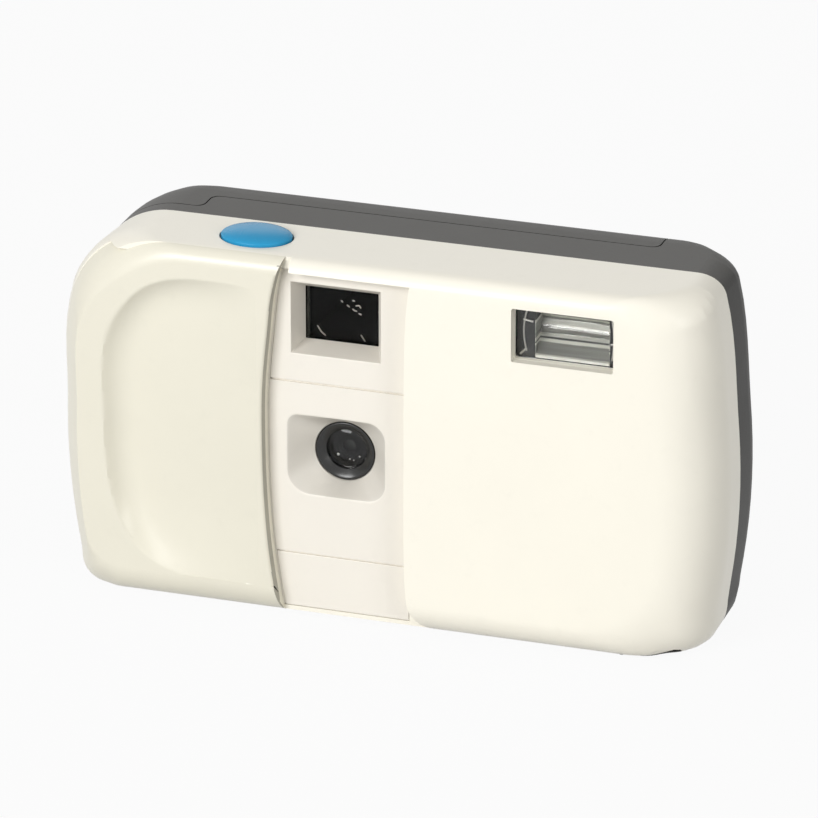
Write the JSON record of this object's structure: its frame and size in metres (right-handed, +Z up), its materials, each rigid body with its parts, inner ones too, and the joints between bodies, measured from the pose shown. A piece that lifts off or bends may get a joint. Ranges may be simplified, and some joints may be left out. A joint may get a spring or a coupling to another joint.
{
  "type": "reusable film camera",
  "caption": "Compact reusable 35 mm film camera: warm white front with finger-dish grip, recessed lens and viewfinder, built-in flash, dark rear shell with swinging film door.",
  "frame": {"origin": "centre of the underside's bounding box, on the underside", "axes": "+X to the right seen from the front, along the width; +Y from the lens to the film door, through the depth; +Z up"},
  "size_m": [0.118, 0.0344, 0.0686],
  "materials": {
    "cover_plastic": "smooth warm white moulding, soft sheen",
    "grip_plastic": "smooth ivory moulding, soft sheen",
    "panel_plastic": "fine-grained warm white moulding",
    "dark_plastic": "fine-grained dark grey moulding",
    "frame_plastic": "flat black moulding",
    "blue_plastic": "smooth blue moulding",
    "clear_plastic": "clear",
    "tube_glass": "clear",
    "bright_metal": "bright",
    "spring_steel": "plain wire and zinc-plated screws",
    "blackened_metal": "blackened sheet",
    "board": "green board",
    "sleeve_plastic": "dark sleeve over metal",
    "lamp_plastic": "orange, clear",
    "foam": "black light-seal foam"
  },
  "bodies": {
    "camera": {"front_cover": "cover_plastic", "grip_panel": "grip_plastic", "viewfinder_panel": "panel_plastic", "lens_panel": "panel_plastic", "lower_panel": "panel_plastic", "rear_shell": "dark_plastic", "main_frame": "frame_plastic", "light_baffle": "frame_plastic", "battery_holder": "frame_plastic", "viewfinder_tunnel": "frame_plastic", "lens_ring": "frame_plastic", "lens_barrel": "frame_plastic", "viewfinder_window": "clear_plastic", "eyepiece_lens": "clear_plastic", "front_lens": "clear_plastic", "rear_lens": "clear_plastic", "counter_window": "clear_plastic", "flash_window": "clear_plastic", "flash_tube": "tube_glass", "flash_reflector": "bright_metal", "battery_contact": "bright_metal", "hinge_pin": "bright_metal", "button_spring": "spring_steel", "rewind_button_spring": "spring_steel", "shutter_spring": "spring_steel", "frame_screws": "spring_steel", "case_screws": "spring_steel", "aperture_disc": "blackened_metal", "flash_board": "board", "flash_capacitor": "sleeve_plastic", "battery": "sleeve_plastic", "ready_lamp": "lamp_plastic"},
    "door": {"film_door": "dark_plastic", "light_seals": "foam", "pressure_spring": "bright_metal", "pressure_plate": "blackened_metal"},
    "latch": {"door_latch": "dark_plastic"},
    "button": {"shutter_button": "blue_plastic"},
    "lever": {"release_lever": "frame_plastic"},
    "blade": {"shutter_blade": "blackened_metal"},
    "thumbwheel": {"thumbwheel": "dark_plastic"},
    "spool": {"take_up_spool": "frame_plastic"},
    "sprocket": {"sprocket_wheel": "frame_plastic"},
    "counter": {"counter_dial": "frame_plastic"},
    "rewind": {"rewind_shaft": "dark_plastic"},
    "handle": {"rewind_handle": "dark_plastic"},
    "release": {"rewind_button": "dark_plastic"},
    "switch": {"flash_switch": "dark_plastic"},
    "battery_lid": {"battery_door": "dark_plastic", "battery_spring": "spring_steel"}
  },
  "joints": [
    {"name": "door_swing", "type": "hinge", "parent": "camera", "child": "door", "pos_m": [-0.0573, 0.0016, 0.029], "axis": [0, 0, 1], "range_deg": [0, 90]},
    {"name": "latch_slide", "type": "slide", "parent": "camera", "child": "latch", "axis": [0, 0, 1], "range_m": [0, 0.003]},
    {"name": "shutter_press", "type": "slide", "parent": "camera", "child": "button", "axis": [0, 0, -1], "range_m": [0, 0.0016], "stiffness_N_per_m": 500, "springref_m": -0.001, "deforming": ["button_spring"]},
    {"name": "release_lever_turn", "type": "hinge", "parent": "camera", "child": "lever", "pos_m": [-0.0189, -0.00885, 0.055], "axis": [0, -1, 0], "range_deg": [0, 15.7]},
    {"name": "blade_swing", "type": "hinge", "parent": "camera", "child": "blade", "pos_m": [-0.0185, -0.005, 0.033], "axis": [0, 1, 0], "range_deg": [0, 36.1]},
    {"name": "thumbwheel_spin", "type": "hinge", "parent": "camera", "child": "thumbwheel", "pos_m": [-0.03502, 0.0056, 0.0546], "axis": [0, 0, 1], "continuous": true},
    {"name": "take_up_spin", "type": "hinge", "parent": "camera", "child": "spool", "pos_m": [-0.0436, 0.0013, 0.03], "axis": [0, 0, 1], "continuous": true},
    {"name": "sprocket_spin", "type": "hinge", "parent": "camera", "child": "sprocket", "pos_m": [-0.0286, 0.0061, 0.03], "axis": [0, 0, 1], "continuous": true},
    {"name": "counter_spin", "type": "hinge", "parent": "camera", "child": "counter", "pos_m": [-0.0211, -0.0015, 0.005], "axis": [0, 0, 1], "continuous": true},
    {"name": "rewind_spin", "type": "hinge", "parent": "camera", "child": "rewind", "pos_m": [0.0265, 0, 0.005], "axis": [0, 0, 1], "continuous": true},
    {"name": "handle_fold", "type": "hinge", "parent": "rewind", "child": "handle", "pos_m": [0.0213, 0, 0.00135], "axis": [0, 1, 0], "range_deg": [0, 100]},
    {"name": "rewind_release_press", "type": "slide", "parent": "camera", "child": "release", "axis": [0, 0, 1], "range_m": [0, 0.0015], "stiffness_N_per_m": 400, "springref_m": -0.001, "deforming": ["rewind_button_spring"]},
    {"name": "flash_switch_slide", "type": "slide", "parent": "camera", "child": "switch", "axis": [0, 0, 1], "range_m": [0, 0.004]},
    {"name": "battery_door_swing", "type": "hinge", "parent": "camera", "child": "battery_lid", "pos_m": [0.04185, -0.0074, 0.0009], "axis": [0, 1, 0], "range_deg": [0, 90]}
  ],
  "couplings": [
    {"joint": "release_lever_turn", "follows": "shutter_press", "rad_per_m": 170.94},
    {"joint": "blade_swing", "follows": "shutter_press", "rad_per_m": 392.7},
    {"joint": "take_up_spin", "follows": "thumbwheel_spin", "ratio": -0.6},
    {"joint": "sprocket_spin", "follows": "thumbwheel_spin", "ratio": -0.66102},
    {"joint": "counter_spin", "follows": "thumbwheel_spin", "ratio": 0.016525}
  ]
}
